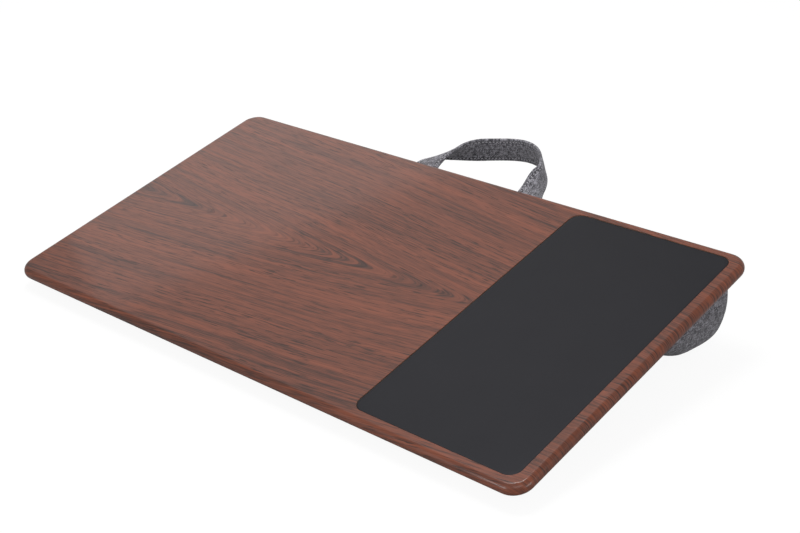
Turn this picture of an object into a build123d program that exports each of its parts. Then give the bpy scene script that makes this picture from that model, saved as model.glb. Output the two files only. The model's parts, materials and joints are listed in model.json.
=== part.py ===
from build123d import *
from dataclasses import dataclass
from math import acos, asin, atan2, cos, hypot, pi, radians, sin, sqrt, tan
import os

# A lap desk: a wood-grain board with a mouse pad let in flush, on two fabric bolsters of unequal
# depth that tilt it towards the user, and with a loop handle at the middle of its back edge.
# Millimetres. The part stands on z = 0 and is centred on its own footprint, handle included.
# +X runs to the user's right, +Y to the back.

# Board
board_length = 555.0
board_depth = 300.0
board_thickness = 10.5
corner_radius = 16.0
edge_inset = 4.0  # from the outermost edge in to the crisp break of the top face
nose_overlap = 1.0  # how far the rounded nose reaches into the slab behind it
foil_thickness = 0.4
backing_thickness = 0.4
cushion_adhesive_thickness = 0.2

# Mouse pad, let into the board's right end
pad_length = 146.0
pad_depth = 281.0
pad_corner_radius = 9.5
pad_right_margin = 11.4  # from the board's outermost edge to the pad's
pad_shift_back = 0.4
pad_drop = 0.3  # the pad's face lies this far below the board's
pad_gap = 0.3
pad_surface_thickness = 0.8
pad_base_thickness = 1.5
pad_adhesive_thickness = 0.2

# Cushion
base_cloth_thickness = 1.2
valley_cloth_thickness = 1.0
cloth_margin = 3.0
seam_allowance = 2.0
cloth_corner_radius = 12.0
cover_thickness = 1.2
seam_gap = 0.3
contact_flat = 0.5  # depth of the flat strip that each bolster stands on
straight_share = 0.5  # of a bolster's half length, from its middle out
depth_power = 4.5  # how blunt a bolster's ends are, seen from the side
width_power = 6.5  # and seen from above
end_cut = 0.04  # the share of an end's length that its flat tip takes off
station_count = 7  # from the straight middle to one tip

# Rear bolster: a deep round crown near the back edge and a longer flank to the front
rear_radius = 40.0
rear_crown = 58.0
rear_crown_from_back = 45.0
rear_width = 111.0
rear_end_inset = 12.0
rear_flank_angle = 36.0  # where the flank leaves the round, from straight down

# Front bolster: a shallow one
front_radius = 46.0
front_crown = 22.0
front_width = 88.0
front_inset = 24.5
front_end_inset = 22.0
front_flank_angle = 26.0

# Loop handle
strap_width = 25.0
strap_thickness = 2.6
strap_half_span = 58.0
strap_shift = -4.0  # the feet stand this far left of the board's middle
strap_clearance = 0.7  # between the board's edge and the loop folded up against it
strap_joint_gap = 0.3
strap_left_pull = 61.0  # how strongly each leg runs straight back before it bends
strap_right_pull = 84.0
strap_flat_run = 12.0
strap_left_twist = 60.0
strap_right_twist = 30.0
strap_stations = 24
tail_length = 26.0
tail_relief = 0.3

# Heights in the board's own frame, from its top face down
backing_top = -board_thickness + backing_thickness
cloth_top = -board_thickness - cushion_adhesive_thickness
cloth_plane = cloth_top - base_cloth_thickness
half_depth = board_depth / 2

# Rear bolster's section, seen along the board
rear_centre_y = half_depth - rear_crown_from_back
rear_centre_z = rear_radius - rear_crown
rear_back_seam = rear_centre_y + sqrt(rear_radius**2 - rear_centre_z**2)
rear_front_seam = rear_back_seam - rear_width

# Front bolster's section
front_centre_z = front_radius - front_crown
front_front_seam = -half_depth + front_inset
front_back_seam = front_front_seam + front_width
front_centre_y = front_back_seam - sqrt(front_radius**2 - front_centre_z**2)

# Both rounds touch one floor, which gives the board's tilt
rise = front_centre_z - rear_centre_z
run = rear_centre_y - front_centre_y
tilt = atan2(rise, run) + asin((rear_radius - front_radius) / hypot(rise, run))

# The loop's centre line in its own plane, from the left foot to the right one
hinge_y = half_depth + strap_clearance + strap_thickness / 2
hinge_z = cloth_plane - strap_thickness / 2
loop_path = Bezier(
    (-strap_half_span, strap_flat_run),
    (-strap_half_span, strap_flat_run + strap_left_pull),
    (strap_half_span, strap_flat_run + strap_right_pull),
    (strap_half_span, strap_flat_run),
)
loop_reach = loop_path.bounding_box().max.Y + strap_thickness / 2

# The board's frame, with its origin at the middle of the top face
edge_radius = (board_thickness**2 / 4 + edge_inset**2) / (2 * edge_inset)
front_extent = edge_radius + (half_depth - edge_radius) * cos(tilt) - board_thickness / 2 * sin(tilt)
hinge_extent = hinge_y * cos(tilt) - hinge_z * sin(tilt)
back_extent = hinge_extent + loop_reach * cos(tilt) + strap_width / 2 * sin(tilt)
deck_y = (front_extent - back_extent) / 2
rear_centre_drop = rear_centre_y * sin(tilt) + (cloth_plane + rear_centre_z) * cos(tilt)
deck_z = rear_radius - contact_flat - rear_centre_drop
deck = Plane(origin=(0, deck_y, deck_z), x_dir=(1, 0, 0), z_dir=(0, -sin(tilt), cos(tilt)))


def across(x, height):
    """The plane square to the board's length at x: its own x runs to the back and its own y up."""
    origin = deck.from_local_coords(Vector(x, 0, height))
    return Plane(origin=origin, x_dir=deck.y_dir, z_dir=deck.x_dir)


# Board: the fibreboard core, the foil over its top and edges and the sheet under it


def board_body(skin, low):
    """The board inside a skin: a slab with a rounded nose along its sides and round its corners."""
    slab_inset = edge_inset + nose_overlap
    slab_length = board_length - 2 * slab_inset
    slab_depth = board_depth - 2 * slab_inset
    slab_corner = corner_radius - slab_inset
    mid = -board_thickness / 2
    top = -skin - mid
    bottom = low - mid
    nose_radius = edge_radius - skin
    nose_centre = corner_radius - edge_radius
    low_end = (nose_centre + sqrt(nose_radius**2 - bottom**2), bottom)
    high_end = (nose_centre + sqrt(nose_radius**2 - top**2), top)
    with BuildPart() as body:
        with BuildSketch(deck.offset(low)):
            RectangleRounded(slab_length, slab_depth, slab_corner)
        extrude(amount=top - bottom)
        for quarter in range(4):
            turn = radians(90 * quarter)
            along = deck.x_dir * cos(turn) + deck.y_dir * sin(turn)
            side = Plane(origin=deck.origin, x_dir=along, z_dir=deck.z_dir)
            run, reach = (slab_length, slab_depth) if quarter % 2 == 0 else (slab_depth, slab_length)
            straight = run - 2 * slab_corner
            corner = side.from_local_coords(Vector(straight / 2, slab_corner - reach / 2, mid))
            with BuildSketch(Plane(origin=corner, x_dir=-side.y_dir, z_dir=-side.x_dir)) as nose:
                with BuildLine():
                    ThreePointArc(low_end, (nose_centre + nose_radius, 0), high_end)
                    Polyline(high_end, (slab_corner, top), (slab_corner, bottom), low_end)
                make_face()
            extrude(nose.sketch, amount=straight)
            revolve(nose.sketch, axis=Axis(corner, deck.z_dir), revolution_arc=90)
    return body.part


pad_centre = (board_length / 2 - pad_right_margin - pad_length / 2, pad_shift_back)
recess_depth = pad_drop + pad_surface_thickness + pad_base_thickness + pad_adhesive_thickness


def pad_outline(height, gap):
    """The mouse pad's rounded rectangle at a height, `gap` larger all round."""
    with BuildSketch(deck.offset(height)) as outline:
        with Locations(pad_centre):
            RectangleRounded(pad_length + 2 * gap, pad_depth + 2 * gap, pad_corner_radius + gap)
    return outline.sketch


with BuildPart() as board_core:
    add(board_body(foil_thickness, backing_top))
    extrude(pad_outline(0, pad_gap), amount=-recess_depth, mode=Mode.SUBTRACT)

with BuildPart() as wood_foil:
    add(board_body(0, backing_top))
    add(board_body(foil_thickness, backing_top), mode=Mode.SUBTRACT)
    extrude(pad_outline(0, pad_gap), amount=-recess_depth, mode=Mode.SUBTRACT)

with BuildPart() as backing_sheet:
    with BuildSketch(deck.offset(-board_thickness)):
        RectangleRounded(
            board_length - 2 * edge_inset, board_depth - 2 * edge_inset, corner_radius - edge_inset
        )
    extrude(amount=backing_thickness)

# Mouse pad: its smooth face, the rubber under it and the film that holds it in the recess

pad_base_top = -pad_drop - pad_surface_thickness
pad_adhesive_top = pad_base_top - pad_base_thickness

with BuildPart() as mouse_pad_surface:
    extrude(pad_outline(-pad_drop, 0), amount=-pad_surface_thickness)

with BuildPart() as mouse_pad_base:
    extrude(pad_outline(pad_base_top, 0), amount=-pad_base_thickness)

with BuildPart() as mouse_pad_adhesive:
    extrude(pad_outline(pad_adhesive_top, 0), amount=-pad_adhesive_thickness)

# Cushion: the base cloth against the board, two filled bolsters and the cloth between them


@dataclass
class Bolster:
    """A bolster's section at mid-length, in the board's frame, and its half length."""

    centre_y: float
    centre_z: float
    radius: float
    back_seam: float
    front_seam: float
    flank_angle: float
    half_length: float

    def section(self, share, end, skin):
        """The section at a share of one end's length, `skin` inside the cloth's outer face."""
        wide = (1 - share**width_power) ** (1 / width_power)
        deep = (1 - share**depth_power) ** (1 / depth_power)
        station = end * (straight_share + share * (1 - straight_share))
        middle = (self.back_seam + self.front_seam) / 2
        radius = self.radius - skin
        flank = radians(self.flank_angle)

        def place(y, z):
            return (middle + (y - middle) * wide, -skin + (z + skin) * deep)

        def on_round(angle):
            return place(self.centre_y + radius * cos(angle), self.centre_z + radius * sin(angle))

        seam_angle = asin((-skin - self.centre_z) / radius)
        flat_back = -pi / 2 - tilt + acos(1 - contact_flat / radius)
        flat_front = -pi / 2 - tilt - acos(1 - contact_flat / radius)
        leave = -pi / 2 - flank
        leave_y = self.centre_y + radius * cos(leave)
        leave_z = self.centre_z + radius * sin(leave)
        slope = atan2(-leave_z, leave_y - self.front_seam)
        front = self.front_seam + skin * (1 / sin(slope) + 1 / tan(slope))
        bulge = hypot(leave_y - front, leave_z + skin) / 2 * tan((slope - flank) / 2)
        flank_y = (leave_y + front) / 2 - bulge * sin(slope)
        flank_z = (leave_z - skin) / 2 - bulge * cos(slope)
        with BuildSketch(across(station * (self.half_length - skin), cloth_plane)) as outline:
            with BuildLine():
                Line(place(front, -skin), on_round(seam_angle))
                for first, last in ((seam_angle, flat_back), (flat_front, leave)):
                    ThreePointArc(on_round(first), on_round((first + last) / 2), on_round(last))
                Line(on_round(flat_back), on_round(flat_front))
                ThreePointArc(on_round(leave), place(flank_y, flank_z), place(front, -skin))
            make_face()
        return outline.sketch

    def tip(self, skin):
        """How far the flat tip lies from mid-length."""
        return (1 - end_cut * (1 - straight_share)) * (self.half_length - skin)

    def body(self, skin):
        """The bolster's filled form: a straight middle, and sections drawn in towards both ends."""
        turn = asin(1 - end_cut) / (station_count - 1)
        shares = [sin(k * turn) for k in range(station_count)]
        with BuildPart() as form:
            extrude(self.section(0, -1, skin), amount=2 * straight_share * (self.half_length - skin))
            for end in (-1, 1):
                loft(sections=[self.section(share, end, skin) for share in shares], ruled=True)
        return form.part


rear = Bolster(
    rear_centre_y,
    rear_centre_z,
    rear_radius,
    rear_back_seam,
    rear_front_seam,
    rear_flank_angle,
    board_length / 2 - rear_end_inset,
)
front = Bolster(
    front_centre_y,
    front_centre_z,
    front_radius,
    front_back_seam,
    front_front_seam,
    front_flank_angle,
    board_length / 2 - front_end_inset,
)


tail_back = hinge_y - strap_thickness / 2 - strap_joint_gap
tail_front = tail_back - tail_length


def tail_dents(skin):
    """The two dents that the handle's tails press into the rear bolster, `skin` deeper."""
    relief = tail_relief + skin
    dent_front = tail_front - relief
    dent_back = hinge_y
    with BuildPart() as dents:
        with BuildSketch(deck.offset(cloth_plane)):
            with Locations((strap_shift, (dent_front + dent_back) / 2)):
                with GridLocations(2 * strap_half_span, 0, 2, 1):
                    Rectangle(strap_width + 2 * relief, dent_back - dent_front)
        extrude(amount=-strap_thickness - relief)
    return dents.part



def cloth_outline(height, margin):
    """The base cloth's rounded rectangle at a height, `margin` outside the bolsters' seams."""
    back = rear_back_seam + margin
    front_edge = front_front_seam - margin
    with BuildSketch(deck.offset(height)) as outline:
        with Locations((0, (back + front_edge) / 2)):
            RectangleRounded(2 * rear.tip(-margin), back - front_edge, cloth_corner_radius)
    return outline.sketch


with BuildPart() as base_cloth:
    extrude(cloth_outline(cloth_plane, cloth_margin), amount=base_cloth_thickness)

with BuildPart() as cushion_adhesive:
    extrude(cloth_outline(cloth_top, seam_allowance), amount=cushion_adhesive_thickness)

with BuildPart() as valley_cloth:
    with BuildSketch(deck.offset(cloth_plane)):
        with Locations((0, (rear_front_seam + front_back_seam) / 2)):
            Rectangle(2 * front.half_length, rear_front_seam - front_back_seam - 2 * seam_gap)
    extrude(amount=-valley_cloth_thickness)


def rear_form(skin):
    """The rear bolster `skin` inside its cover, dented by the handle's tails."""
    with BuildPart() as form:
        add(rear.body(skin))
        add(tail_dents(skin), mode=Mode.SUBTRACT)
    return form.part


def cover_shell(form):
    """A bolster's whole cover: its outer form less its filling."""
    with BuildPart() as shell:
        add(form(0))
        add(form(cover_thickness), mode=Mode.SUBTRACT)
    return shell.part


def wrap(bolster, form):
    """The panel that wraps round a bolster, open at both tips."""
    with BuildPart() as panel:
        add(cover_shell(form))
        seam = bolster.tip(cover_thickness)
        split(bisect_by=Plane.YZ.offset(seam), keep=Keep.BOTTOM)
        split(bisect_by=Plane.YZ.offset(-seam), keep=Keep.TOP)
    return panel.part


def end_panel(bolster, form, end):
    """The panel sewn in at one tip, -1 at the left and 1 at the right."""
    with BuildPart() as panel:
        add(cover_shell(form))
        seam = Plane.YZ.offset(end * bolster.tip(cover_thickness))
        split(bisect_by=seam, keep=Keep.TOP if end > 0 else Keep.BOTTOM)
    return panel.part


with BuildPart() as rear_bolster_cover:
    add(wrap(rear, rear_form))

with BuildPart() as rear_left_end_panel:
    add(end_panel(rear, rear_form, -1))

with BuildPart() as rear_right_end_panel:
    add(end_panel(rear, rear_form, 1))

with BuildPart() as rear_bolster_beads:
    add(rear_form(cover_thickness))

with BuildPart() as front_bolster_cover:
    add(wrap(front, front.body))

with BuildPart() as front_left_end_panel:
    add(end_panel(front, front.body, -1))

with BuildPart() as front_right_end_panel:
    add(end_panel(front, front.body, 1))

with BuildPart() as front_bolster_beads:
    add(front.body(cover_thickness))

# Loop handle: a strap whose feet lie flat under the board and whose middle stands on edge


hinge = deck.from_local_coords(Vector(strap_shift, hinge_y, hinge_z))
loop_plane = Plane(origin=hinge, x_dir=deck.x_dir, z_dir=deck.z_dir)


def smooth_step(share):
    """0 to 1 with level ends, held outside them."""
    held = min(max(share, 0), 1)
    return held * held * (3 - 2 * held)


def strap_section(share):
    """The strap's rectangle at a share of the loop's length, turned by its twist there."""
    left_turn = smooth_step(share * loop_path.length / strap_left_twist)
    right_turn = smooth_step((1 - share) * loop_path.length / strap_right_twist)
    twist = min(left_turn, right_turn) * pi / 2
    along = loop_path % share
    beside = along.cross(Vector(0, 0, 1))
    width = beside * cos(twist) + Vector(0, 0, 1) * sin(twist)
    local = Plane(origin=loop_path @ share, x_dir=width, z_dir=along)
    with BuildSketch(loop_plane * local.location) as outline:
        Rectangle(strap_width, strap_thickness)
    return outline.sketch


def handle_tail(x):
    """One of the strap's ends, sewn in between the base cloth and the rear bolster."""
    with BuildPart() as tail:
        with BuildSketch(deck.offset(cloth_plane)):
            with Locations((strap_shift + x, (tail_front + tail_back) / 2)):
                Rectangle(strap_width, tail_length)
        extrude(amount=-strap_thickness)
    return tail.part


with BuildPart() as handle_loop:
    loft(sections=[strap_section(k / strap_stations) for k in range(strap_stations + 1)], ruled=True)
    side = Plane(origin=hinge, x_dir=loop_plane.y_dir, z_dir=loop_plane.x_dir)
    for foot in (-strap_half_span, strap_half_span):
        with BuildSketch(side.offset(foot)):
            Circle(strap_thickness / 2)
            with Locations((strap_flat_run / 2, 0)):
                Rectangle(strap_flat_run, strap_thickness)
        extrude(amount=strap_width / 2, both=True)

with BuildPart() as left_handle_tail:
    add(handle_tail(-strap_half_span))

with BuildPart() as right_handle_tail:
    add(handle_tail(strap_half_span))

nodes = {
    "board_core": board_core,
    "wood_foil": wood_foil,
    "backing_sheet": backing_sheet,
    "mouse_pad_surface": mouse_pad_surface,
    "mouse_pad_base": mouse_pad_base,
    "mouse_pad_adhesive": mouse_pad_adhesive,
    "cushion_adhesive": cushion_adhesive,
    "base_cloth": base_cloth,
    "valley_cloth": valley_cloth,
    "rear_bolster_cover": rear_bolster_cover,
    "rear_left_end_panel": rear_left_end_panel,
    "rear_right_end_panel": rear_right_end_panel,
    "front_bolster_cover": front_bolster_cover,
    "front_left_end_panel": front_left_end_panel,
    "front_right_end_panel": front_right_end_panel,
    "rear_bolster_beads": rear_bolster_beads,
    "front_bolster_beads": front_bolster_beads,
    "handle_loop": handle_loop,
    "left_handle_tail": left_handle_tail,
    "right_handle_tail": right_handle_tail,
}
os.makedirs("parts", exist_ok=True)
for name, node in nodes.items():
    node.part.label = name
    export_step(node.part, f"parts/{name}.step")
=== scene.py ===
"""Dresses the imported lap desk: wood foil, mouse pad, filled bolsters, loop handle and stitching."""

import json
from collections import namedtuple
from math import asin, cos, exp, hypot, pi, radians, sin, sqrt

import bmesh
import bpy
import numpy as np
from mathutils import Matrix, Vector, noise


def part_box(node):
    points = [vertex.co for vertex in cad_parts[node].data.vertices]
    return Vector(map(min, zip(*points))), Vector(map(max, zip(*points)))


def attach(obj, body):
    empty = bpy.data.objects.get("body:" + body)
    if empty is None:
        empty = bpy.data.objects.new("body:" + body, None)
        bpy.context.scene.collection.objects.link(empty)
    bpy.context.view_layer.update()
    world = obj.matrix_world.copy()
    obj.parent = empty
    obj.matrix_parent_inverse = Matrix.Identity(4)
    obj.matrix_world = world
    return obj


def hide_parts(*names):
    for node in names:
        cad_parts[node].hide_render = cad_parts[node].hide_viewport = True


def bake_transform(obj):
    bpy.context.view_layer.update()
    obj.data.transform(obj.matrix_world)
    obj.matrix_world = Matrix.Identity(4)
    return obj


bl_info = {
    "name": "Lap desk dressing",
    "version": (1, 0, 0),
    "blender": (4, 5, 0),
    "location": "View3D > Sidebar > Lap desk",
    "description": "Builds the visible pieces of a packed lap desk",
    "category": "Object",
}

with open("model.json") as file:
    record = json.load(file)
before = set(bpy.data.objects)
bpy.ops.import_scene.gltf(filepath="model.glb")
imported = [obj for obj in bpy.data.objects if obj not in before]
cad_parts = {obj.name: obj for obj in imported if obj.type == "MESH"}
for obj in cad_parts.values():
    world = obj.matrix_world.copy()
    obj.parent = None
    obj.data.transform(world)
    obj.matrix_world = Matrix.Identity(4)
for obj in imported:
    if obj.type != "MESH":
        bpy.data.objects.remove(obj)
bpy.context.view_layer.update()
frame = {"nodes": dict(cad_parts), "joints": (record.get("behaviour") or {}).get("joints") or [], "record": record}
mounts = {mount["name"]: mount for mount in frame["record"]["mounts"]}
hinge = Vector(frame["joints"][0]["pos_m"])

# The board's own frame: the middle of its top face, its length, its depth and its normal
deck_origin = Vector(mounts["work_surface"]["pos_m"])
deck_up = Vector(mounts["work_surface"]["axis"]).normalized()
deck_back = deck_up.cross(Vector((1, 0, 0)))
deck_tilt = asin(-deck_up.y)


def deck_point(x, y, z):
    """A point of the board's own frame, in the model's frame."""
    return deck_origin + Vector((x, 0, 0)) + deck_back * y + deck_up * z


def to_deck(point):
    """A point of the model's frame, in the board's own frame."""
    away = Vector(point) - deck_origin
    return Vector((away.x, away.dot(deck_back), away.dot(deck_up)))


hinge_in_deck = to_deck(hinge)
pad_centre = to_deck(mounts["mouse_pad_face"]["pos_m"])


# Settings


def number(name, about, default, **options):
    """A setting that is a plain number."""
    return bpy.props.FloatProperty(name=name, description=about, default=default, **options)


def length(name, about, default):
    """A setting in metres."""
    return number(name, about, default, subtype="DISTANCE", unit="LENGTH", precision=5)


def angle(name, about, degrees):
    """A setting for an angle, from its degrees."""
    return number(name, about, radians(degrees), subtype="ANGLE")


def colour(name, about, default):
    """A setting for a linear RGB colour."""
    return bpy.props.FloatVectorProperty(
        name=name, description=about, default=default, size=3, min=0, max=1, subtype="COLOR"
    )


class BoardSettings(bpy.types.PropertyGroup):
    """The wood-grain board and the mouse pad in it."""

    length: length("Length", "Board's length", 0.555)
    depth: length("Depth", "Board's depth", 0.300)
    thickness: length("Thickness", "Board's thickness", 0.0105)
    corner: length("Corner radius", "Corners' radius seen from above", 0.016)
    edge_inset: length("Edge inset", "From the edge to the top face's break", 0.004)
    softened: length("Softened break", "Half width of the top face's break", 0.00035)
    foil: length("Foil thickness", "Thickness of the wood foil", 0.0004)
    rim: length("Window rim", "Bevel of the foil round the mouse pad", 0.00012)
    backing: length("Backing thickness", "Thickness of the sheet under the board", 0.0004)
    pad_length: length("Pad length", "Mouse pad's size along the board", 0.146)
    pad_depth: length("Pad depth", "Mouse pad's size across the board", 0.281)
    pad_corner: length("Pad corner radius", "Radius of the pad's corners", 0.0095)
    pad_drop: length("Pad drop", "How far the pad lies below the top face", 0.0003)
    pad_gap: length("Pad gap", "Gap between the pad and the foil round it", 0.0003)
    pad_thickness: length("Pad face thickness", "Thickness of the pad's upper layer", 0.0008)
    pad_round: length("Pad edge radius", "Radius of the pad's upper edge", 0.00022)
    light_wood: colour("Light wood", "Lightest tone of the grain", (0.255, 0.066, 0.029))
    dark_wood: colour("Dark wood", "Darkest tone of the grain", (0.038, 0.0125, 0.0075))
    pad_colour: colour("Pad colour", "Mouse pad's tone", (0.0085, 0.0083, 0.0105))


class CushionSettings(bpy.types.PropertyGroup):
    """The two bolsters and the cloth that joins them."""

    voxel: length("Remesh size", "Edge length of the simulated cloth", 0.005)
    cloth: length("Cloth thickness", "Thickness of the bolsters' cover", 0.0012)
    end_reach: length("End reach", "How far the ends stand out", 0.0075)
    end_run: length("End run", "Run over which the ends fill out", 0.07)
    end_blunt: number("End bluntness", "How square the filled ends are seen from above", 0.3)
    rear_cap: length("Rear cap", "How far the rear bolster's cloth may swell", 0.0035)
    front_cap: length("Front cap", "How far the front bolster's cloth may swell", 0.0025)
    pressure: number("Pressure", "Pressure of the filling on the cloth", 4.0, min=0)
    seam_inset: length("Seam inset", "From each end to the seam of its end panel", 0.012)
    seam_width: length("Seam width", "Half width of the dent along an end seam", 0.0028)
    seam_depth: length("Seam depth", "Depth of the dent along an end seam", 0.0005)
    pucker: length("Pucker", "Height of the cloth's pull lines at an end seam", 0.0007)
    pucker_reach: length("Pucker reach", "How far the pull lines run from a seam", 0.022)
    slack: length("Slack", "Height of the cloth's broad waves", 0.0006)
    tail_relief: length("Tail relief", "Room left round each of the handle's tails", 0.0003)
    row_inset: length("Row inset", "From the base cloth's edge to its stitch row", 0.0014)
    row_drop: length("Row drop", "How far the stitches lie below the cloth's face", 0.0002)
    stitch_pitch: length("Stitch pitch", "Distance from stitch to stitch", 0.005)
    light_yarn: colour("Light yarn", "Pale yarn of the heather cloth", (0.430, 0.420, 0.465))
    dark_yarn: colour("Dark yarn", "Dark yarn of the heather cloth", (0.030, 0.028, 0.035))
    thread: colour("Thread", "Sewing thread", (0.520, 0.510, 0.550))


class HandleSettings(bpy.types.PropertyGroup):
    """The loop handle's strap."""

    width: length("Width", "Strap's width", 0.025)
    thickness: length("Thickness", "Strap's thickness", 0.0026)
    half_span: length("Half span", "From the loop's middle to each foot", 0.058)
    flat_run: length("Flat run", "Straight run of each foot behind the hinge line", 0.006)
    left_pull: length("Left pull", "How strongly the left leg runs back", 0.0598)
    right_pull: length("Right pull", "How strongly the right leg runs back", 0.1091)
    left_splay: length("Left splay", "How far the left leg leans outward", 0.0241)
    right_splay: length("Right splay", "How far the right leg leans inward", 0.0045)
    left_twist: length("Left twist", "Run in which the left leg turns", 0.069)
    right_twist: length("Right twist", "Run in which the right leg turns", 0.031)
    left_fold: number("Left fold", "Slant of the fold across the left leg", 0.58)
    right_fold: number("Right fold", "Slant of the fold across the right leg", -0.95)
    on_edge: angle("On edge", "Turn of the strap at the loop's middle", 84)
    sag: length("Sag", "How far the loop's middle hangs", 0.0018)
    sway: length("Sway", "How far the left half hangs lower", 0.0045)
    tail: length("Tail", "Length of each end sewn in under the board", 0.0262)
    tail_gap: length("Tail gap", "From the hinge line to each sewn-in end", 0.0016)
    stitch_inset: length("Stitch inset", "From the strap's edge to its stitch row", 0.0032)
    stitch_pitch: length("Stitch pitch", "Distance from stitch to stitch", 0.0034)
    stitch_lift: length("Stitch lift", "From the strap's face to the stitches' middle", 0.00018)
    row_width: length("Row width", "Half width of the dent along a stitch row", 0.0010)
    row_depth: number("Row depth", "Its depth by half the thickness", 0.36)
    ripple: length("Ripple", "Height of the strap's uneven surface", 0.00016)
    ring_pitch: length("Ring pitch", "Distance from ring to ring of the mesh", 0.0014)
    fold: length("Fold", "Half the run of the hinge's bend", 0.003)


class StageSettings(bpy.types.PropertyGroup):
    """The camera, the floor and the lamps."""

    camera_x: length("Camera x", "Camera's place along X", 0.74528)
    camera_y: length("Camera y", "Camera's place along Y", -0.80070)
    camera_z: length("Camera z", "Camera's height", 0.55654)
    azimuth: angle("Azimuth", "Direction of view about Z", 42.46)
    elevation: angle("Elevation", "Angle of view below level", 25.712)
    roll: angle("Roll", "Turn of the camera about its view", -2.188)
    lens: number("Lens", "Focal length for a 36 mm wide image", 64.58, unit="CAMERA")
    floor: length("Floor", "From the floor's middle to each side", 6.0)
    ambient: number("Ambient", "Strength of the white light from all round", 0.42, min=0)


# Nodes, written as expressions where they are a shader's


def add_node(tree, kind, settings, inputs):
    """A new node's outputs: its settings are set first, then its sockets' values or links."""
    made = tree.nodes.new(kind)
    for key, value in settings.items():
        if key == "stops":
            elements = made.color_ramp.elements
            while len(elements) < len(value):
                elements.new(1)
            for element, (place, tone) in zip(elements, value):
                element.position = place
                element.color = (*tone, 1)
        else:
            setattr(made, key, value)
    for key, value in inputs.items():
        socket = made.inputs[key]
        if isinstance(value, bpy.types.NodeSocket):
            tree.links.new(value, socket)
        elif socket.type == "RGBA" and len(value) == 3:
            socket.default_value = (*value, 1)
        else:
            socket.default_value = value
    return made.outputs


class Value:
    """A socket of a finish's nodes, with arithmetic for its numbers."""

    def __init__(self, finish, socket):
        self.finish = finish
        self.socket = socket

    def maths(self, operation, *values):
        """A maths node on values or plain numbers."""
        return self.finish.node("ShaderNodeMath", dict(enumerate(values)), operation=operation)

    def __add__(self, other):
        return self.maths("ADD", self, other)

    def __radd__(self, other):
        return self.maths("ADD", other, self)

    def __sub__(self, other):
        return self.maths("SUBTRACT", self, other)

    def __rsub__(self, other):
        return self.maths("SUBTRACT", other, self)

    def __mul__(self, other):
        return self.maths("MULTIPLY", self, other)

    def __pow__(self, other):
        return self.maths("POWER", self, other)

    def wave(self):
        """The sine of a phase in radians."""
        return self.maths("SINE", self)

    def whole(self):
        """The whole part, rounded down."""
        return self.maths("FLOOR", self)

    def size(self):
        """The value without its sign."""
        return self.maths("ABSOLUTE", self)

    def clamped(self, low, high):
        """0 below `low`, 1 above `high`, smooth between."""
        inputs = {0: self, 1: low, 2: high}
        return self.finish.node("ShaderNodeMapRange", inputs, interpolation_type="SMOOTHSTEP")


class Finish:
    """One material and the nodes it is made from."""

    def __init__(self, name):
        self.material = bpy.data.materials.new(name)
        self.material.use_nodes = True
        self.tree = self.material.node_tree
        self.tree.nodes.clear()

    def node(self, kind, inputs=None, output=0, **settings):
        """One output of a new node, if it has any."""
        given = {
            key: value.socket if isinstance(value, Value) else value
            for key, value in (inputs or {}).items()
        }
        outputs = add_node(self.tree, kind, settings, given)
        return Value(self, outputs[output]) if outputs else None

    def surface_map(self, name):
        """The piece's own map, in metres, as x and y."""
        return self.split(self.node("ShaderNodeUVMap", uv_map=name))[:2]

    def split(self, place):
        """A place's x, y and z."""
        parts = self.node("ShaderNodeSeparateXYZ", {0: place})
        return [Value(self, socket) for socket in parts.socket.node.outputs]

    def join(self, x, y, z=0.0):
        """A place from its x, y and z."""
        return self.node("ShaderNodeCombineXYZ", {0: x, 1: y, 2: z})

    def object_place(self, turn=0.0):
        """Object coordinates, turned about X so that they lie with the board."""
        place = self.node("ShaderNodeTexCoord", output="Object")
        inputs = {"Vector": place, "Rotation": (turn, 0, 0)}
        return self.node("ShaderNodeMapping", inputs, vector_type="TEXTURE")

    def noise(self, place, scale=1.0, detail=2.0, rough=0.5):
        """Soft noise between 0 and 1."""
        inputs = {"Vector": place, "Scale": scale, "Detail": detail, "Roughness": rough}
        return self.node("ShaderNodeTexNoise", inputs)

    def ramp(self, factor, stops):
        """A colour read off a row of (factor, colour) stops."""
        return self.node("ShaderNodeValToRGB", {0: factor}, stops=stops)

    def blend(self, factor, first, second):
        """Two colours mixed by a factor."""
        inputs = {0: factor, 6: first, 7: second}
        return self.node("ShaderNodeMix", inputs, 2, data_type="RGBA")

    def bump(self, height, distance, strength):
        """A normal roughened by a height, `distance` metres for a height of 1."""
        inputs = {"Height": height, "Distance": distance, "Strength": strength}
        return self.node("ShaderNodeBump", inputs)

    def finish(self, **sockets):
        """Ends the material in a Principled shader, with sockets named by their words."""
        inputs = {key.replace("_", " "): value for key, value in sockets.items()}
        shader = self.node("ShaderNodeBsdfPrincipled", inputs)
        self.node("ShaderNodeOutputMaterial", {0: shader})
        return self.material


def shade(tone, factor):
    """A lighter or darker colour."""
    return tuple(channel * factor for channel in tone)


def tone_stops(dark, light, *stops):
    """A ramp's stops between two colours, from pairs of a factor and the share of `light`."""
    return [
        (factor, tuple(low + (high - low) * share for low, high in zip(dark, light)))
        for factor, share in stops
    ]


# The dark lines of the wood's figure: place among the rings, half width and strength
RING_LINES = (
    (-0.0178, 0.0020, 0.9),
    (0.0068, 0.0012, 0.9),
    (-0.0070, 0.0009, 0.45),
    (0.0170, 0.0009, 0.45),
)


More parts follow.
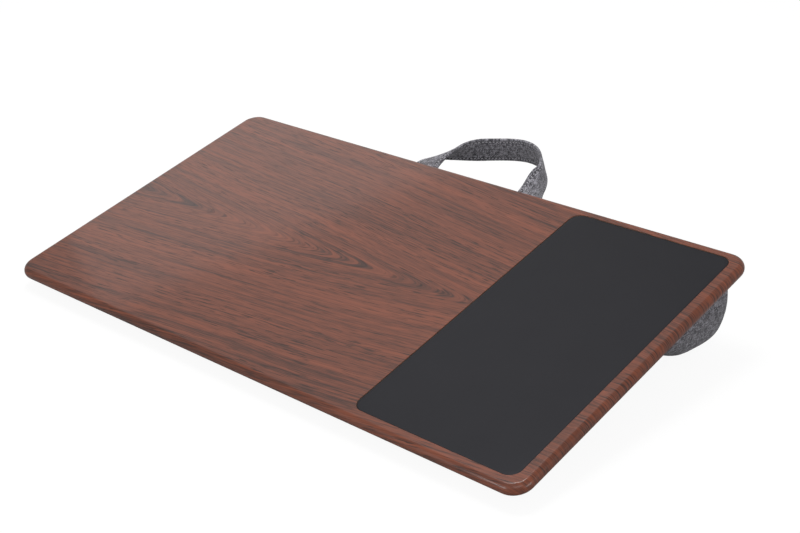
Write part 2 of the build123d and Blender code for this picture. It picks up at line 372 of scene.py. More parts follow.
def wood_finish(light, dark):
    """Printed wood foil: a figure that points to the right, soft bands, fine dark pores, and painted shade that
    makes the ends darker and warmer.
    """
    wood = Finish("wood_foil")
    x, y = wood.surface_map("grain")
    drift = wood.noise(wood.join(x * 2.2, y * 5.0), detail=1.0) - 0.5
    ripple = wood.noise(wood.join(x * 11.0, y * 40.0)) - 0.5
    heart = y + drift * 0.030 + 0.002
    aside = (heart * heart + 0.00003) ** 0.5
    ring = aside + x * 0.115 + ripple * 0.0030
    depth = y * 5.0

    def along(x_scale, ring_scale, seed, detail=2.0, rough=0.55):
        """Noise drawn out along the figure's rings."""
        place = wood.join(x * x_scale, ring * ring_scale, depth + seed)
        return wood.noise(place, detail=detail, rough=rough)

    cloud = along(1.3, 40.0, 0.0)
    band = along(2.2, 190.0, 3.0, 3.0, 0.6)
    streak = along(7.0, 560.0, 5.0, 3.0, 0.65)
    fibre = along(48.0, 1500.0, 7.0, 2.0, 0.6)
    pores = along(60.0, 1050.0, 11.0, 1.0).clamped(0.55, 0.68)
    where = along(4.0, 70.0, 13.0).clamped(0.36, 0.60)
    near = 1 - aside.clamped(0.012, 0.045)
    outlines = 0.0
    for height, wide, strength in RING_LINES:
        away = (ring - height).size()
        outlines = (1 - away.clamped(0.0, wide)) * strength + outlines
    # The board's ends: fine cross stripes, and a slight painted shade that darkens them.
    end = x.size().clamped(0.262, 0.272)
    cross = wood.noise(wood.join(x * 14.0, y * 640.0, 17.0), rough=0.6) - 0.5
    tone = cloud * 0.28 + band * 0.32 + streak * 0.50 + (fibre - 0.5) * 0.42 - 0.05
    tone = tone + end * (cross * 0.55 - 0.025)
    stops = tone_stops(dark, light, (0.34, 0.06), (0.45, 0.42), (0.54, 0.74), (0.70, 1.0))
    body = wood.ramp(tone - outlines * near * 0.12, stops)
    # Painted shade: the ends are tinted a darker, warmer brown, as a shaded side looks.
    end_shade_tint = end * wood.noise(wood.join(x * 20.0, y * 60.0, 19.0)).clamped(0.40, 0.62)
    shade_warmth = tuple(channel * share for channel, share in zip(light, (0.72, 0.62, 0.42)))
    body = wood.blend(end_shade_tint * 0.55, body, shade_warmth)
    printed = wood.blend(pores * (where * 0.55 + 0.30), body, shade(dark, 0.6))
    relief = fibre * 0.35 + streak * 0.3 - pores * 0.9
    return wood.finish(
        Base_Color=printed,
        Roughness=0.36 + streak * 0.10 + pores * 0.08,
        Normal=wood.bump(relief, 0.00004, 0.5),
        Specular_IOR_Level=0.42,
        Coat_Weight=0.40,
        Coat_Roughness=0.09,
    )


def heather_finish(name, light, dark, map_name=None, stitch_rows=None):
    """Cloth woven of pale and dark yarns, with painted shade along any stitch rows."""
    cloth = Finish(name)
    if map_name:
        x, y = cloth.surface_map(map_name)
    else:
        x, y, z = cloth.split(cloth.object_place(deck_tilt))
        y = y + z * 0.9
    yarns = 1050.0
    warp_yarn = cloth.noise(cloth.join((x * yarns).whole() * 0.7, y * 210.0))
    weft_yarn = cloth.noise(cloth.join(x * 210.0, (y * yarns).whole() * 0.7, 7.0))
    over = (x * yarns * pi).wave() * (y * yarns * pi).wave()
    shown = over.clamped(-0.35, 0.35)
    speck = warp_yarn * shown + weft_yarn * (1 - shown)
    patch = cloth.noise(cloth.join(x * 130.0, y * 130.0, 3.0), detail=3.0) - 0.5
    tone = speck + patch * 0.16
    # Painted shade: the tone is darker along the stitch rows, in the dents that the strap's mesh has there.
    if stitch_rows:
        from_row = (y.size() - stitch_rows).size()
        tone = tone - (1 - from_row.clamped(0.0004, 0.0013)) * 0.11
    stops = tone_stops(dark, light, (0.34, 0.0), (0.46, 0.22), (0.54, 0.55), (0.64, 1.0))
    relief = over * over * 0.6 + speck * 0.5
    return cloth.finish(
        Base_Color=cloth.ramp(tone, stops),
        Roughness=0.86 + patch * 0.1,
        Normal=cloth.bump(relief, 0.00025, 0.7),
        Sheen_Weight=0.18,
        Sheen_Roughness=0.6,
        Specular_IOR_Level=0.3,
    )


def plain_finish(name, tone, rough, grain, depth):
    """A nearly even finish with a fine grain."""
    coat = Finish(name)
    place = coat.object_place(deck_tilt)
    fine = coat.noise(place, grain, 3.0, 0.6)
    broad = coat.noise(place, grain / 40)
    factor = (fine * 0.7 + broad * 0.3).clamped(0.3, 0.7)
    return coat.finish(
        Base_Color=coat.blend(factor, shade(tone, 0.75), shade(tone, 1.25)),
        Roughness=rough + (fine - 0.5) * 0.12,
        Normal=coat.bump(fine, depth, 0.6),
    )


def pad_finish(tone):
    """The mouse pad's face: smooth dark sheet with a very fine pebbled grain."""
    pad = Finish("mouse_pad")
    place = pad.object_place(deck_tilt)
    pebbles = {"Vector": place, "Scale": 1500.0, "Randomness": 0.9}
    cells = pad.node("ShaderNodeTexVoronoi", pebbles)
    soft = pad.noise(place, 420.0)
    broad = pad.noise(place, 9.0)
    shine = pad.noise(place, 26.0, 3.0)
    base = pad.blend(broad.clamped(0.3, 0.7), shade(tone, 0.93), shade(tone, 1.07))
    return pad.finish(
        Base_Color=base,
        Roughness=0.50 + (shine - 0.5) * 0.08 + cells * 0.05,
        Normal=pad.bump(cells * 0.6 + soft * 0.4, 0.00003, 0.5),
        Specular_IOR_Level=0.26,
        Specular_Tint=(0.92, 0.92, 1.0, 1.0),
    )


def thread_finish(tone):
    """Twisted sewing thread."""
    thread = Finish("thread")
    strand = thread.noise(thread.object_place(), 3000.0)
    return thread.finish(
        Base_Color=thread.blend(strand, shade(tone, 0.6), shade(tone, 1.5)),
        Roughness=0.7 + (strand - 0.5) * 0.1,
        Normal=thread.bump(strand, 0.0001, 0.5),
    )


# Meshes from rings


def ring_loop(half_x, half_y, radius, corner_steps=14, side_steps=10):
    """A rounded rectangle's points and outward directions, as many for any size."""
    centres = [
        ((half_x - radius) * side_x, (half_y - radius) * side_y)
        for side_x, side_y in ((1, 1), (-1, 1), (-1, -1), (1, -1))
    ]
    found = []
    for quarter, (centre_x, centre_y) in enumerate(centres):
        start = quarter * pi / 2
        for step in range(corner_steps + 1):
            angle = start + pi / 2 * step / corner_steps
            out = (cos(angle), sin(angle))
            found.append((centre_x + radius * out[0], centre_y + radius * out[1], *out))
        last_x, last_y = found[-1][:2]
        next_x, next_y = centres[(quarter + 1) % 4]
        next_x += radius * out[0]
        next_y += radius * out[1]
        for step in range(1, side_steps):
            share = step / side_steps
            x = last_x + (next_x - last_x) * share
            y = last_y + (next_y - last_y) * share
            found.append((x, y, *out))
    return found


def ring_mesh(name, rings, sharp, closed=False, maps=None, map_name=None):
    """A mesh of quads through rings of points: capped, or closed from the last ring to the first.

    Edges that turn by more than `sharp` degrees are crisp.
    """
    work = bmesh.new()
    rows = [[work.verts.new(point) for point in ring] for ring in rings]
    layer = work.loops.layers.uv.new(map_name) if map_name else None
    count = len(rows[0])
    pairs = len(rows) if closed else len(rows) - 1
    for row in range(pairs):
        following = (row + 1) % len(rows)
        for index in range(count):
            after = (index + 1) % count
            corners = ((row, index), (row, after), (following, after), (following, index))
            face = work.faces.new([rows[r][i] for r, i in corners])
            face.smooth = True
            if layer:
                for loop, (r, i) in zip(face.loops, corners):
                    loop[layer].uv = maps[r][i]
    if not closed:
        for row in (rows[0], rows[-1]):
            work.faces.new(row).smooth = True
    bmesh.ops.recalc_face_normals(work, faces=work.faces)
    mesh = bpy.data.meshes.new(name)
    work.to_mesh(mesh)
    work.free()
    mesh.set_sharp_from_angle(angle=radians(sharp))
    return mesh


def dress(mesh, material):
    """Gives a mesh one material in place of any that it has."""
    mesh.materials.clear()
    mesh.materials.append(material)


def put(name, mesh):
    """An object for a mesh, at the origin."""
    piece = bpy.data.objects.new(name, mesh)
    bpy.context.scene.collection.objects.link(piece)
    return piece


def repaint(node, material):
    """Gives a carried-over CAD node a better material."""
    piece = frame["nodes"][node]
    if not piece.material_slots:
        piece.data.materials.append(None)
    for place in piece.material_slots:
        place.link = "OBJECT"
        place.material = material


# Board


def pad_loop(board, gap):
    """The mouse pad's outline in the board's frame, `gap` outside the pad."""
    sides = (board.pad_length / 2 + gap, board.pad_depth / 2 + gap)
    loop = ring_loop(*sides, board.pad_corner + gap)
    return [(x + pad_centre.x, y + pad_centre.y) for x, y, _, _ in loop]


def build_foil(board):
    """The foil over the board's top and round its nose, with the mouse pad's window in it."""
    half_thick = board.thickness / 2
    radius = (half_thick**2 + board.edge_inset**2) / (2 * board.edge_inset)
    low = board.backing - half_thick
    outer_top = asin(half_thick / radius)
    outer_low = asin(low / radius)
    inner = radius - board.foil
    inner_top = asin((half_thick - board.foil) / inner)
    inner_low = asin(low / inner)
    flat_end = board.edge_inset + 5 * board.softened

    def nose(arc_radius, first, last, steps):
        """(inset, height) places along an arc of the nose."""
        angles = [first + (last - first) * step / steps for step in range(steps + 1)]
        return [
            (radius - arc_radius * cos(angle), arc_radius * sin(angle) - half_thick)
            for angle in angles
        ]

    # Across the rim: the flat, the softened break, round the nose, and back inside the foil
    turned = outer_top - 1.2 * board.softened / radius
    outer = nose(radius, turned, outer_low, 14)
    profile = [(flat_end, 0.0), (board.edge_inset + board.softened, 0.0)]
    for share in (0.25, 0.5, 0.75):
        keep = 1 - share
        inset = keep * keep * profile[1][0] + 2 * keep * share * board.edge_inset
        profile.append((inset + share * share * outer[0][0], share * share * outer[0][1]))
    profile += outer
    outer_count = len(profile)
    profile += nose(inner, inner_low, inner_top, 8)
    profile.append((flat_end, -board.foil))

    rings, maps = [], []
    run = -flat_end
    for index, (inset, height) in enumerate(profile):
        if 0 < index < outer_count:
            before = profile[index - 1]
            run += hypot(inset - before[0], height - before[1])
        spread = run + inset if index < outer_count else 0.0
        sides = (board.length / 2 - inset, board.depth / 2 - inset)
        loop = ring_loop(*sides, board.corner - inset)
        rings.append([deck_point(x, y, height) for x, y, _, _ in loop])
        maps.append([(x + out_x * spread, y + out_y * spread) for x, y, out_x, out_y in loop])
    for gap, height in ((0.0, -board.foil), (0.0, -board.rim), (board.rim, 0.0)):
        loop = pad_loop(board, board.pad_gap + gap)
        rings.append([deck_point(x, y, height) for x, y in loop])
        maps.append(loop)
    return ring_mesh("wood_foil_top", rings, 40, closed=True, maps=maps, map_name="grain")


def build_pad(board):
    """The mouse pad's face layer, with its edge rounded over."""
    profile = [(0.0, -board.pad_thickness), (0.0, -board.pad_round)]
    for step in range(1, 5):
        angle = pi / 2 * step / 4
        profile.append((board.pad_round * (1 - cos(angle)), board.pad_round * (sin(angle) - 1)))
    cap_inset = 0.004
    profile.append((cap_inset, 0.0))
    rings = []
    for inset, height in profile:
        level = height - board.pad_drop
        rings.append([deck_point(x, y, level) for x, y in pad_loop(board, -inset)])
    return ring_mesh("mouse_pad_face", rings, 40)


# Nodes, and their finish's name, colour, roughness, grain a metre and relief in metres
HIDDEN_LAYERS = (
    (["board_core"], "fibreboard", (0.36, 0.25, 0.16), 0.8, 900.0, 0.0001),
    (["backing_sheet"], "backing", (0.34, 0.23, 0.17), 0.6, 500.0, 0.00003),
    (["mouse_pad_base"], "pad_rubber", (0.016, 0.016, 0.016), 0.7, 1500.0, 0.0001),
    (["mouse_pad_adhesive", "cushion_adhesive"], "adhesive", (0.62, 0.60, 0.52), 0.4, 700.0, 2e-5),
)


class LAPDESK_OT_board(bpy.types.Operator):
    """Build the foil-wrapped board and the mouse pad let into it"""

    bl_idname = "lapdesk.board"
    bl_label = "Board"

    def execute(self, context):
        board = context.scene.lapdesk_board
        foil = put("wood_foil_top", build_foil(board))
        dress(foil.data, wood_finish(board.light_wood, board.dark_wood))
        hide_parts("wood_foil")
        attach(foil, "desk")
        pad = put("mouse_pad_face", build_pad(board))
        dress(pad.data, pad_finish(board.pad_colour))
        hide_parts("mouse_pad_surface")
        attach(pad, "desk")
        for nodes, *look in HIDDEN_LAYERS:
            finish = plain_finish(*look)
            for node in nodes:
                repaint(node, finish)
        return {"FINISHED"}


# Cushion


def filling_copy(end, cushion):
    """A bolster's filling as one closed even mesh, grown by the cover's thickness."""
    filling = frame["nodes"][f"{end}_bolster_beads"]
    mesh = filling.data.copy()
    mesh.transform(filling.matrix_world)
    work = bmesh.new()
    work.from_mesh(mesh)
    bmesh.ops.remove_doubles(work, verts=work.verts, dist=0.00002)
    work.to_mesh(mesh)
    work.free()
    piece = put(f"{end}_bolster", mesh)
    remesh = piece.modifiers.new("remesh", "REMESH")
    remesh.mode = "VOXEL"
    remesh.voxel_size = cushion.voxel
    remesh.use_smooth_shade = True
    apply_modifiers(piece)
    normals = [vertex.normal.copy() for vertex in piece.data.vertices]
    for vertex, normal in zip(piece.data.vertices, normals):
        vertex.co += normal * cushion.cloth
    return piece


def apply_modifiers(piece):
    """Makes what the modifiers give the piece's own mesh, which may not be empty."""
    bpy.context.view_layer.update()
    seen = piece.evaluated_get(bpy.context.evaluated_depsgraph_get())
    mesh = bpy.data.meshes.new_from_object(seen)
    if not mesh.polygons:
        raise RuntimeError(f"{piece.name} came out with no faces")
    piece.modifiers.clear()
    old = piece.data
    piece.data = mesh
    bpy.data.meshes.remove(old)


def points_of(mesh):
    """A mesh's points as rows of x, y and z."""
    flat = np.empty(len(mesh.vertices) * 3)
    mesh.vertices.foreach_get("co", flat)
    return flat.reshape(-1, 3)


SIMULATED_FRAMES = 20


def swell(piece, pressure, cap):
    """Blows the cloth up with the filling's pressure, each point by `cap` at most."""
    start = points_of(piece.data)
    cloth = piece.modifiers.new("cloth", "CLOTH")
    settings = cloth.settings
    settings.use_pressure = True
    settings.uniform_pressure_force = pressure
    settings.effector_weights.gravity = 0
    settings.quality = 5
    settings.mass = 0.3
    settings.tension_stiffness = 15
    settings.compression_stiffness = 15
    settings.bending_stiffness = 0.5
    cloth.point_cache.frame_start = 1
    cloth.point_cache.frame_end = SIMULATED_FRAMES
    for step in range(SIMULATED_FRAMES):
        bpy.context.scene.frame_set(step + 1)
    apply_modifiers(piece)
    bpy.context.scene.frame_set(1)
    moved = points_of(piece.data) - start
    moved -= moved.mean(axis=0) * np.array([1, 0, 0])
    size = np.linalg.norm(moved, axis=1, keepdims=True)
    kept = start + moved * np.minimum(1, cap / np.maximum(size, 1e-9))
    piece.data.vertices.foreach_set("co", kept.ravel())


def fill_ends(mesh, box, cushion):
    """Fills out a bolster's ends, which get longer, and squarer seen from above."""
    low, high = box
    middle = (low[1] + high[1]) / 2
    half = (high[1] - low[1]) / 2
    for vertex in mesh.vertices:
        x, y, z = vertex.co
        share = smooth_step((abs(x) - high[0] + cushion.end_run) / cushion.end_run)
        across = min(abs(y - middle) / half, 1.0)
        if across > 0.02:
            y = middle + (y - middle) * across ** (-cushion.end_blunt * share)
        vertex.co = (x + cushion.end_reach * share * share * (1 if x > 0 else -1), y, z)


def waves(place, along, across):
    """Even noise over a bolster, with its waves' counts a metre along it and across it."""
    return noise.noise(Vector((place.x * along, place.y * across, place.z * across)))


def settle(mesh, seam_x, ceiling, rooms, cushion):
    """Wrinkles the cloth, sinks its end seams and keeps it off the floor, board and tails."""
    mesh.update()
    normals = [vertex.normal.copy() for vertex in mesh.vertices]
    for vertex, normal in zip(mesh.vertices, normals):
        to_seam = abs(abs(vertex.co.x) - seam_x)
        sunk = cushion.seam_depth * exp(-((to_seam / cushion.seam_width) ** 2))
        pull = cushion.pucker * waves(vertex.co, 22, 75) * exp(-to_seam / cushion.pucker_reach)
        slack = cushion.slack * waves(vertex.co, 11, 26)
        vertex.co += normal * (pull + slack - sunk)
    for vertex in mesh.vertices:
        place = to_deck(vertex.co)
        limit = ceiling
        for low_x, high_x, low_y, depth in rooms:
            if low_x < place.x < high_x and place.y > low_y:
                limit = ceiling - depth
        if place.z > limit:
            place.z = limit
            vertex.co = deck_point(*place)
        vertex.co.z = max(vertex.co.z, 0.0)
    mesh.update()


def finish_bolster(piece, cloth):
    """Smooths a bolster, and lays the weave on each face from the side that it faces most."""
    piece.modifiers.new("smooth", "SUBSURF").levels = 1
    apply_modifiers(piece)
    dress(piece.data, cloth)
    mapped = piece.data.uv_layers.new(name="weave")
    for face in piece.data.polygons:
        face.use_smooth = True
        normal = [abs(part) for part in face.normal]
        flat = normal.index(max(normal))
        kept = [axis for axis in range(3) if axis != flat]
        for corner in face.loop_indices:
            point = piece.data.vertices[piece.data.loops[corner].vertex_index].co
            mapped.data[corner].uv = [point[axis] for axis in kept]


def stitch_tree(material):
    """A node group that lays a bead at each step of a row."""
    tree = bpy.data.node_groups.new("stitch_rows", "GeometryNodeTree")
    face = tree.interface
    face.new_socket("Rows", in_out="INPUT", socket_type="NodeSocketGeometry")
    for name in ("Pitch", "Length", "Width", "Height"):
        face.new_socket(name, in_out="INPUT", socket_type="NodeSocketFloat")
    face.new_socket("Stitches", in_out="OUTPUT", socket_type="NodeSocketGeometry")

    def node(kind, inputs, **settings):
        """A new node's first output."""
        return add_node(tree, kind, settings, inputs)[0]

    given = add_node(tree, "NodeGroupInput", {}, {})
    line = node("GeometryNodeMeshToCurve", {"Mesh": given["Rows"]})
    spacing = {"Curve": line, "Length": given["Pitch"]}
    even = node("GeometryNodeResampleCurve", spacing, mode="LENGTH")
    up = node("GeometryNodeInputNamedAttribute", {"Name": "outward"}, data_type="FLOAT_VECTOR")
    along = node("GeometryNodeInputTangent", {})
    upright = node("FunctionNodeAlignRotationToVector", {"Vector": up}, axis="Z")
    facing = {"Rotation": upright, "Vector": along}
    turn = node("FunctionNodeAlignRotationToVector", facing, axis="X", pivot_axis="Z")
    bead = node("GeometryNodeMeshUVSphere", {"Segments": 8, "Rings": 5, "Radius": 0.5})
    sides = {0: given["Length"], 1: given["Width"], 2: given["Height"]}
    size = node("ShaderNodeCombineXYZ", sides)
    stitch = {"Points": even, "Instance": bead, "Rotation": turn, "Scale": size}
    laid = node("GeometryNodeInstanceOnPoints", stitch)
    real = node("GeometryNodeRealizeInstances", {0: laid})
    painted = node("GeometryNodeSetMaterial", {"Geometry": real, "Material": material})
    shaded = node("GeometryNodeSetShadeSmooth", {0: painted})
    add_node(tree, "NodeGroupOutput", {}, {0: shaded})
    return tree


def sew(name, rows, thread_colour, pitch, size):
    """A piece of stitches along rows of (point, outward direction).

    `size` is one stitch's length, width and height.
    """
    thread = bpy.data.materials.get("thread") or thread_finish(thread_colour)
    tree = bpy.data.node_groups.get("stitch_rows") or stitch_tree(thread)
    mesh = bpy.data.meshes.new(name)
    points, edges, outward = [], [], []
    for row in rows:
        base = len(points)
        points += [point for point, _ in row]
        outward += [tuple(out) for _, out in row]
        edges += [(base + index, base + index + 1) for index in range(len(row) - 1)]
    mesh.from_pydata(points, edges, [])
    attribute = mesh.attributes.new("outward", "FLOAT_VECTOR", "POINT")
    attribute.data.foreach_set("vector", [c for out in outward for c in out])
    piece = put(name, mesh)
    modifier = piece.modifiers.new("stitches", "NODES")
    modifier.node_group = tree
    values = {"Pitch": pitch, "Length": size[0], "Width": size[1], "Height": size[2]}
    for item in tree.interface.items_tree:
        if item.in_out == "INPUT" and item.name in values:
            modifier[item.identifier] = values[item.name]
    apply_modifiers(piece)
    dress(piece.data, thread)
    return piece


def tail_rooms(handle, relief):
    """The room of each handle tail in the board's frame: its x range, least y and depth."""
    rooms = []
    for side in (-1, 1):
        middle = hinge_in_deck.x + side * handle.half_span
        half = handle.width / 2 + relief
        low_y = hinge_in_deck.y - handle.tail_gap - handle.tail - relief
        rooms.append((middle - half, middle + half, low_y, handle.thickness + relief))
    return rooms


class LAPDESK_OT_cushion(bpy.types.Operator):
    """Build the two filled bolsters, their seams and the cloth between them"""

    bl_idname = "lapdesk.cushion"
    bl_label = "Cushion"

    def execute(self, context):
        cushion = context.scene.lapdesk_cushion
        handle = context.scene.lapdesk_handle
        light, dark = cushion.light_yarn, cushion.dark_yarn
        # Painted shade: the bolsters' cover is the strap's cloth with its pale yarn darkened.
        cover = heather_finish("bolster_cover", shade(light, 0.72), dark, "weave")
        ceiling = hinge_in_deck.z + handle.thickness / 2
        tails = tail_rooms(handle, cushion.tail_relief)
        bolsters = (("rear", cushion.rear_cap, tails), ("front", cushion.front_cap, []))
        for end, cap, rooms in bolsters:
            piece = filling_copy(end, cushion)
            swell(piece, cushion.pressure, cap)
            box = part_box(f"{end}_bolster_cover")
            fill_ends(piece.data, box, cushion)
            settle(piece.data, box[1][0] - cushion.seam_inset, ceiling, rooms, cushion)
            finish_bolster(piece, cover)
            nodes = ("bolster_cover", "left_end_panel", "right_end_panel", "bolster_beads")
            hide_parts(*(f"{end}_{node}" for node in nodes))
            0.8 if end == "rear" else 0.7
            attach(piece, "desk")
        under = heather_finish("base_cloth", shade(light, 0.16), shade(dark, 0.6))
        for node in ("base_cloth", "valley_cloth"):
            repaint(node, under)
        low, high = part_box("base_cloth")
        half = high[0] - cushion.seam_inset
        level = ceiling - cushion.row_drop
        seams = [
            [(deck_point(x, y, level), -deck_up) for x in np.linspace(-half, half, 81)]
            for y in (to_deck(low).y + cushion.row_inset, to_deck(high).y - cushion.row_inset)
        ]
        size = (0.0034, 0.0008, 0.0006)
        stitched = sew("cushion_stitches", seams, cushion.thread, cushion.stitch_pitch, size)
        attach(stitched, "desk")
        return {"FINISHED"}


# Loop handle


def smooth_step(share):
    """0 up to 0, 1 from 1 on, smooth between."""
    held = min(max(share, 0.0), 1.0)
    return held * held * (3 - 2 * held)


def bell(share):
    """1 at the middle of a run, falling off to both sides."""
    return exp(-((2 * share - 1) ** 2))


CURVE_STEPS = 400

# A point of the strap's middle line, seen from the hinge in the board's frame, the directions
# across and outward there, and the run so far
StrapPlace = namedtuple("StrapPlace", "point width out run")


def loop_curve(handle):
    """Points along the loop's Bezier curve, seen from above, and the run up to each."""
    span, flat = handle.half_span, handle.flat_run
    corners = [
        Vector((-span, flat)),
        Vector((-span - handle.left_splay, flat + handle.left_pull)),
        Vector((span - handle.right_splay, flat + handle.right_pull)),
        Vector((span, flat)),
    ]
    curve = []
    for step in range(CURVE_STEPS + 1):
        t = step / CURVE_STEPS
        weights = ((1 - t) ** 3, 3 * t * (1 - t) ** 2, 3 * t * t * (1 - t), t**3)
        parts = (corner * weight for corner, weight in zip(corners, weights))
        curve.append(sum(parts, Vector((0, 0))))
    runs = [0.0]
    for first, second in zip(curve, curve[1:]):
        runs.append(runs[-1] + (second - first).length)
    return curve, runs


def strap_line(handle):
    """StrapPlaces along the whole strap, from one sewn-in end to the other."""
    span, flat = handle.half_span, handle.flat_run
    curve, runs = loop_curve(handle)
    loop = runs[-1]
    lead = handle.tail + handle.tail_gap + flat
    total = loop + 2 * lead
    count = int(total / handle.ring_pitch)
    places = []
    for index in range(count + 1):
        run = total * index / count - lead
        if run < 0:
            point, along = Vector((-span, flat + run)), Vector((0, 1))
        elif run > loop:
            point, along = Vector((span, flat - (run - loop))), Vector((0, -1))
        else:
            at = int(np.searchsorted(runs, run, side="right")) - 1
            at = min(max(at, 0), CURVE_STEPS - 1)
            share = (run - runs[at]) / (runs[at + 1] - runs[at])
            point = curve[at].lerp(curve[at + 1], share)
            before, after = curve[max(at - 1, 0)], curve[min(at + 2, CURVE_STEPS)]
            along = (after - before).normalized()
        left, right = run / handle.left_twist, (loop - run) / handle.right_twist
        turn = min(smooth_step(left), smooth_step(right)) * handle.on_edge
        beside = Vector((along.y, -along.x, 0))
        up = Vector((0, 0, 1))
        slant = handle.left_fold * bell(left) + handle.right_fold * bell(right)
        width = beside * cos(turn) + up * sin(turn) + Vector((along.x, along.y, 0)) * slant
        out = up * cos(turn) - beside * sin(turn)
        share = min(max(run / loop, 0.0), 1.0)
        height = -sin(pi * share) ** 2 * (handle.sag + handle.sway * sin(2 * pi * share))
        places.append(StrapPlace(Vector((point.x, point.y, height)), width, out, run + lead))
    return places


def strap_place(place, across, off):
    """A point beside the strap's middle line, in the model's frame."""
    return deck_point(*(hinge_in_deck + place.point + place.width * across + place.out * off))


def strap_thickness_at(handle, across):
    """Half the strap's thickness at a distance from its middle: full, sunk at the stitch rows."""
    from_edge = handle.width / 2 - abs(across)
    round_off = min(1.0, from_edge / (handle.thickness * 0.45))
    edge = sqrt(max(0.0, 1 - (1 - round_off) ** 2))
    to_row = (from_edge - handle.stitch_inset) / handle.row_width
    sunk = handle.row_depth * exp(-to_row * to_row)
    return handle.thickness / 2 * max(edge - sunk, 0.0)


def build_strap(handle, places):
    """The strap as rings round its places, with a slight ripple on both faces."""
    steps = 30
    half = handle.width / 2
    rings, maps = [], []
    for place in places:
        ring, ring_map = [], []
        for side in (1, -1):
            for step in range(steps):
                across = half * cos(pi * step / steps) * side
                off = strap_thickness_at(handle, across) * side
                if abs(across) <= half * 0.97:
                    spot = Vector((place.run * 60, across * 90, side * 3.0))
                    off += noise.noise(spot) * handle.ripple * side
                ring.append(strap_place(place, across, off))
                ring_map.append((place.run, across))
        rings.append(ring)
        maps.append(ring_map)
    return ring_mesh("loop_handle", rings, 60, maps=maps, map_name="weave")


def turned_out(place, side):
    """The strap's outward direction on one face, in the model's frame."""
    out = place.out * side
    return deck_point(*out) - deck_origin


class LAPDESK_OT_handle(bpy.types.Operator):
    """Build the loop handle's strap and its stitch rows"""

    bl_idname = "lapdesk.handle"
    bl_label = "Loop handle"

    def execute(self, context):
        handle = context.scene.lapdesk_handle
        cushion = context.scene.lapdesk_cushion
        places = strap_line(handle)
        strap = put("loop_handle", build_strap(handle, places))
        across = handle.width / 2 - handle.stitch_inset
        yarns = (cushion.light_yarn, cushion.dark_yarn)
        # The strap's cloth carries painted shade along its stitch rows.
        dress(strap.data, heather_finish("strap_cloth", *yarns, "weave", stitch_rows=across))
        lift = strap_thickness_at(handle, across) + handle.stitch_lift
        sewn_in = int(handle.tail / handle.ring_pitch)
        shown = places[sewn_in:-sewn_in]
        rows = [
            [(strap_place(at, across * edge, lift * side), turned_out(at, side)) for at in shown]
            for side in (1, -1)
            for edge in (1, -1)
        ]
        size = (0.0024, 0.0010, 0.0007)
        stitches = sew("handle_stitches", rows, cushion.thread, handle.stitch_pitch, size)
        start = hinge - deck_back * handle.fold
        end = hinge + deck_back * handle.fold
        for piece in (strap, stitches):
            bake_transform(piece)
        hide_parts("handle_loop", "left_handle_tail", "right_handle_tail")
        return {"FINISHED"}


# Stage


def floor_finish():
    """A white floor that keeps the desk's shadow and is clear from below."""
    ground = Finish("white_floor")
    camera = ground.node("ShaderNodeLightPath", output="Is Camera Ray")
    beneath = ground.node("ShaderNodeNewGeometry", output="Backfacing")
    speck = ground.noise(ground.object_place(), 300.0)
    tone = ground.blend(speck, (0.40, 0.40, 0.40), (0.44, 0.44, 0.44))
    lit = ground.node("ShaderNodeBsdfDiffuse", {"Color": tone})
    glow = ground.node("ShaderNodeEmission", {"Color": (1, 1, 1), "Strength": 1.2})
    mixed = ground.node("ShaderNodeMixShader", {0: camera * 0.77, 1: lit, 2: glow})
    clear = ground.node("ShaderNodeBsdfTransparent")
    shown = ground.node("ShaderNodeMixShader", {0: beneath * camera, 1: mixed, 2: clear})
    ground.node("ShaderNodeOutputMaterial", {0: shown})
    return ground.material


# Name, place, what it points at, width and height, and power in watts
LAMPS = (
    ("key", (-0.3, 0.1, 2.0), (0, 0, 0), (0.8, 0.6), 18),
    ("sheen", (-1.75, 1.3, 1.15), (-0.1, 0.1, 0.05), (1.5, 0.9), 3.6),
    ("fill", (1.4, -1.3, 1.3), (0, 0, 0.05), (1.2, 0.9), 5.5),
    ("front", (-0.25, -1.75, 0.30), (0.25, -0.15, 0.04), (0.75, 0.55), 6.0),
    ("side", (1.95, 0.10, 0.30), (0.27, -0.15, 0.04), (0.85, 0.55), 5.5),
)


def area_lamp(name, place, aim, size, power):
    """A soft lamp that the camera doesn't see."""
    data = bpy.data.lights.new(name, "AREA")
    data.shape = "RECTANGLE"
    data.size, data.size_y = size
    data.energy = power
    lamp = bpy.data.objects.new(name, data)
    bpy.context.scene.collection.objects.link(lamp)
    lamp.visible_camera = False
    lamp.location = place
    lamp.rotation_euler = (Vector(aim) - Vector(place)).to_track_quat("-Z", "Y").to_euler()


def white_world(strength):
    """White light from all round, and a plain white background for the camera."""
    world = bpy.data.worlds.new("studio")
    world.use_nodes = True
    tree = world.node_tree
    camera = add_node(tree, "ShaderNodeLightPath", {}, {})["Is Camera Ray"]
    steps = {"Value": camera, "To Min": strength, "To Max": 1.0}
    level = add_node(tree, "ShaderNodeMapRange", {}, steps)[0]
    sky = tree.nodes["Background"].inputs
    sky["Color"].default_value = (1, 1, 1, 1)
    tree.links.new(level, sky["Strength"])
    return world


def photo_camera(stage):
    """The camera that the photo was taken from."""
    data = bpy.data.cameras.new("camera")
    data.lens = stage.lens
    data.sensor_width = 36
    data.clip_start = 0.01
    camera = bpy.data.objects.new("camera", data)
    camera.location = (stage.camera_x, stage.camera_y, stage.camera_z)
    level = cos(stage.elevation)
    heading = (-sin(stage.azimuth) * level, cos(stage.azimuth) * level, -sin(stage.elevation))
    forward = Vector(heading)
    right = forward.cross(Vector((0, 0, 1))).normalized()
    up = right.cross(forward)
    tilted = right * cos(stage.roll) + up * sin(stage.roll)
    turn = Matrix((tilted, tilted.cross(forward), -forward)).transposed()
    camera.rotation_euler = turn.to_euler()
    return camera


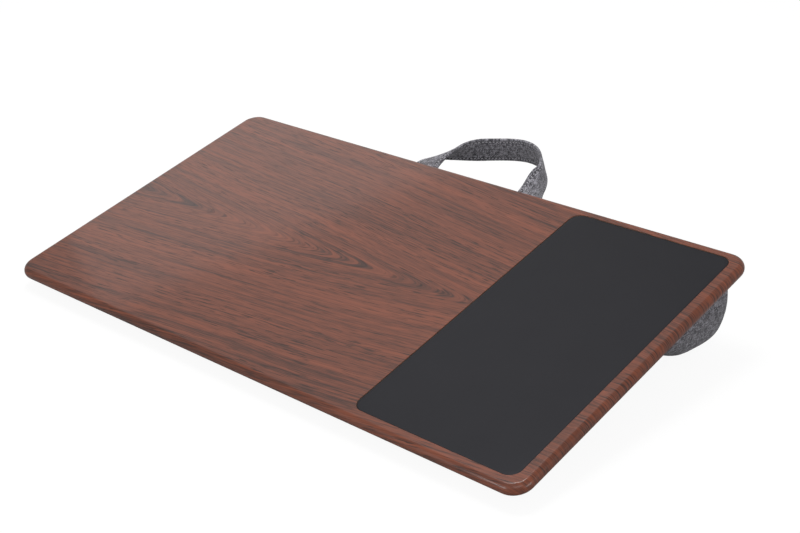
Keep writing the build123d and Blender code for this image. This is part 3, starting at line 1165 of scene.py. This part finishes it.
class LAPDESK_OT_stage(bpy.types.Operator):
    """Build the floor, the world light, the lamps and the camera"""

    bl_idname = "lapdesk.stage"
    bl_label = "Stage"

    def execute(self, context):
        stage = context.scene.lapdesk_stage
        work = bmesh.new()
        bmesh.ops.create_grid(work, x_segments=4, y_segments=4, size=stage.floor)
        mesh = bpy.data.meshes.new("floor")
        work.to_mesh(mesh)
        work.free()
        floor = put("floor", mesh)
        dress(mesh, floor_finish())
        context.scene.world = white_world(stage.ambient)
        for lamp in LAMPS:
            area_lamp(*lamp)
        camera = photo_camera(stage)
        context.scene.collection.objects.link(camera)
        context.scene.camera = camera
        context.scene.view_settings.view_transform = "Standard"
        return {"FINISHED"}


class LAPDESK_PT_panel(bpy.types.Panel):
    """Lists the pieces' settings"""

    bl_label = "Lap desk"
    bl_idname = "LAPDESK_PT_panel"
    bl_space_type = "VIEW_3D"
    bl_region_type = "UI"
    bl_category = "Lap desk"

    def draw(self, context):
        for operator, name, _ in STEPS:
            column = self.layout.column(align=True)
            column.operator(operator.bl_idname)
            group = getattr(context.scene, name)
            for key in group.bl_rna.properties.keys():
                if key not in ("rna_type", "name"):
                    column.prop(group, key)


STEPS = (
    (LAPDESK_OT_stage, "lapdesk_stage", StageSettings),
    (LAPDESK_OT_board, "lapdesk_board", BoardSettings),
    (LAPDESK_OT_cushion, "lapdesk_cushion", CushionSettings),
    (LAPDESK_OT_handle, "lapdesk_handle", HandleSettings),
)


def register():
    """Adds the settings, the operators and the panel to Blender."""
    for operator, name, group in STEPS:
        bpy.utils.register_class(group)
        bpy.utils.register_class(operator)
        setattr(bpy.types.Scene, name, bpy.props.PointerProperty(type=group))
    bpy.utils.register_class(LAPDESK_PT_panel)


def unregister():
    """Takes out what register() added."""
    bpy.utils.unregister_class(LAPDESK_PT_panel)
    for operator, name, group in reversed(STEPS):
        delattr(bpy.types.Scene, name)
        bpy.utils.unregister_class(operator)
        bpy.utils.unregister_class(group)


def main():
    """Builds every piece."""
    register()
    bpy.ops.lapdesk.stage()
    bpy.ops.lapdesk.board()
    bpy.ops.lapdesk.cushion()
    bpy.ops.lapdesk.handle()


if __name__ == "__main__":
    main()
